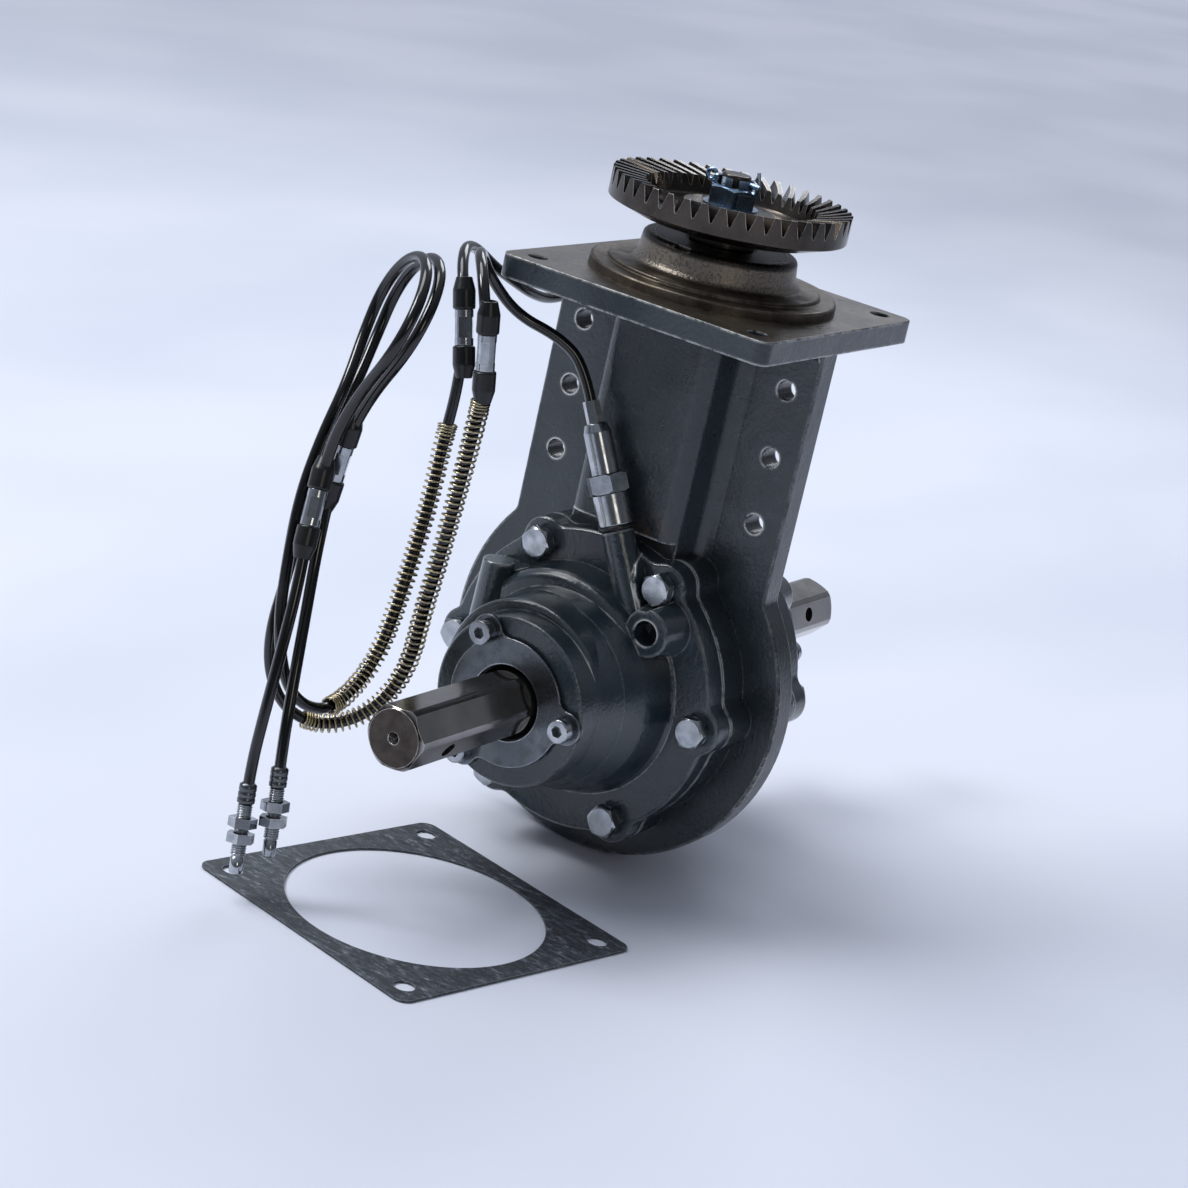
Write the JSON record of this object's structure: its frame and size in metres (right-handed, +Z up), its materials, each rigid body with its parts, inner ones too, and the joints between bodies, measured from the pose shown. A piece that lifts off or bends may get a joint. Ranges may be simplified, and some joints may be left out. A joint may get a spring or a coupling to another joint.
{
  "type": "tiller gearbox",
  "caption": "Rotary tiller gearbox: square flange with a bevel wheel on top, round gear drum below with a hexagon drive shaft each side and two steering clutch cables.",
  "frame": {"origin": "centre of the top flange face", "axes": "+Z up along the input shaft, -Y out along the front drive shaft, +X to the right seen from the front"},
  "size_m": [0.2201, 0.4829, 0.392],
  "materials": {
    "case_paint": "satin dark slate enamel over a sand casting",
    "bare_iron": "bare turned and cast iron, oil stained",
    "seal_black": "moulded seal rubber",
    "bearing_steel": "ground bearing steel",
    "oiled_steel": "machined steel, dark and oily",
    "shaft_steel": "dark phosphated steel",
    "blue_zinc": "blue passivated zinc plate",
    "zinc": "bright zinc plate",
    "black_oxide": "zinc plated and darkened",
    "ground_steel": "ground steel",
    "spring_steel": "drawn spring wire",
    "rubber": "moulded rubber",
    "sheath": "extruded black plastic",
    "gasket_paper": "fibre gasket sheet"
  },
  "bodies": {
    "housing": {"main_case": "case_paint", "front_cover": "case_paint", "rear_cover": "case_paint", "bearing_housing": "bare_iron", "input_oil_seal": "seal_black", "front_oil_seal": "seal_black", "rear_oil_seal": "seal_black", "upper_bearing_outer": "bearing_steel", "lower_bearing_outer": "bearing_steel", "front_bearing_outer": "bearing_steel", "rear_bearing_outer": "bearing_steel", "cover_bolts": "zinc", "spring_washers": "zinc", "front_seal_retainer": "zinc", "rear_seal_retainer": "zinc", "front_cable_socket": "zinc", "rear_cable_socket": "zinc", "front_cable_collar": "zinc", "rear_cable_collar": "zinc", "front_cable_sleeve": "zinc", "rear_cable_sleeve": "zinc", "front_cable_adjusters": "zinc", "rear_cable_adjusters": "zinc", "front_cable_barrel": "zinc", "rear_cable_barrel": "zinc", "barrel_nuts": "zinc", "retainer_screws": "black_oxide", "fork_pins": "ground_steel", "front_coil_guard": "spring_steel", "rear_coil_guard": "spring_steel", "socket_orings": "rubber", "front_cable_boots": "rubber", "rear_cable_boots": "rubber", "front_cable": "sheath", "rear_cable": "sheath", "front_cover_gasket": "gasket_paper", "rear_cover_gasket": "gasket_paper"},
    "input": {"input_shaft": "oiled_steel", "drive_pinion": "oiled_steel", "input_bevel_gear": "oiled_steel", "input_nut": "blue_zinc", "lock_tab": "blue_zinc", "upper_bearing_inner": "bearing_steel", "lower_bearing_inner": "bearing_steel"},
    "crown": {"crown_gear": "oiled_steel"},
    "front_output": {"front_output_shaft": "shaft_steel", "front_bearing_inner": "bearing_steel", "front_clutch_spring": "spring_steel"},
    "rear_output": {"rear_output_shaft": "shaft_steel", "rear_bearing_inner": "bearing_steel", "rear_clutch_spring": "spring_steel"},
    "front_sleeve": {"front_dog_sleeve": "oiled_steel"},
    "rear_sleeve": {"rear_dog_sleeve": "oiled_steel"},
    "front_fork": {"front_shift_fork": "oiled_steel"},
    "rear_fork": {"rear_shift_fork": "oiled_steel"},
    "front_plunger": {"front_clutch_plunger": "ground_steel"},
    "rear_plunger": {"rear_clutch_plunger": "ground_steel"},
    "gasket": {"flange_gasket": "gasket_paper"}
  },
  "joints": [
    {"name": "input_spin", "type": "hinge", "parent": "housing", "child": "input", "pos_m": [0, 0, 0], "axis": [0, 0, 1], "continuous": true},
    {"name": "crown_spin", "type": "hinge", "parent": "housing", "child": "crown", "pos_m": [0, 0, -0.22], "axis": [0, 1, 0], "continuous": true},
    {"name": "front_output_spin", "type": "hinge", "parent": "housing", "child": "front_output", "pos_m": [0, 0, -0.22], "axis": [0, 1, 0], "continuous": true},
    {"name": "front_sleeve_slide", "type": "slide", "parent": "front_output", "child": "front_sleeve", "axis": [0, -1, 0], "range_m": [0, 0.007], "stiffness_N_per_m": 4000, "springref_m": -0.01, "deforming": ["front_clutch_spring"]},
    {"name": "front_fork_slide", "type": "slide", "parent": "housing", "child": "front_fork", "axis": [0, -1, 0], "range_m": [0, 0.007]},
    {"name": "front_plunger_pull", "type": "slide", "parent": "housing", "child": "front_plunger", "axis": [-0.4695, 0, 0.8829], "range_m": [0, 0.014]},
    {"name": "rear_output_spin", "type": "hinge", "parent": "housing", "child": "rear_output", "pos_m": [0, 0, -0.22], "axis": [0, 1, 0], "continuous": true},
    {"name": "rear_sleeve_slide", "type": "slide", "parent": "rear_output", "child": "rear_sleeve", "axis": [0, 1, 0], "range_m": [0, 0.007], "stiffness_N_per_m": 4000, "springref_m": -0.01, "deforming": ["rear_clutch_spring"]},
    {"name": "rear_fork_slide", "type": "slide", "parent": "housing", "child": "rear_fork", "axis": [0, 1, 0], "range_m": [0, 0.007]},
    {"name": "rear_plunger_pull", "type": "slide", "parent": "housing", "child": "rear_plunger", "axis": [-0.4695, 0, 0.8829], "range_m": [0, 0.014]},
    {"name": "gasket_lift", "type": "slide", "parent": "housing", "child": "gasket", "axis": [0, 0, 1], "range_m": [0, 0.02]}
  ],
  "couplings": [
    {"joint": "crown_spin", "follows": "input_spin", "ratio": -0.33333},
    {"joint": "front_output_spin", "follows": "input_spin", "ratio": -0.33333},
    {"joint": "front_fork_slide", "follows": "front_sleeve_slide", "ratio": 1},
    {"joint": "front_plunger_pull", "follows": "front_sleeve_slide", "ratio": 2},
    {"joint": "rear_output_spin", "follows": "input_spin", "ratio": -0.33333},
    {"joint": "rear_fork_slide", "follows": "rear_sleeve_slide", "ratio": 1},
    {"joint": "rear_plunger_pull", "follows": "rear_sleeve_slide", "ratio": 2}
  ]
}
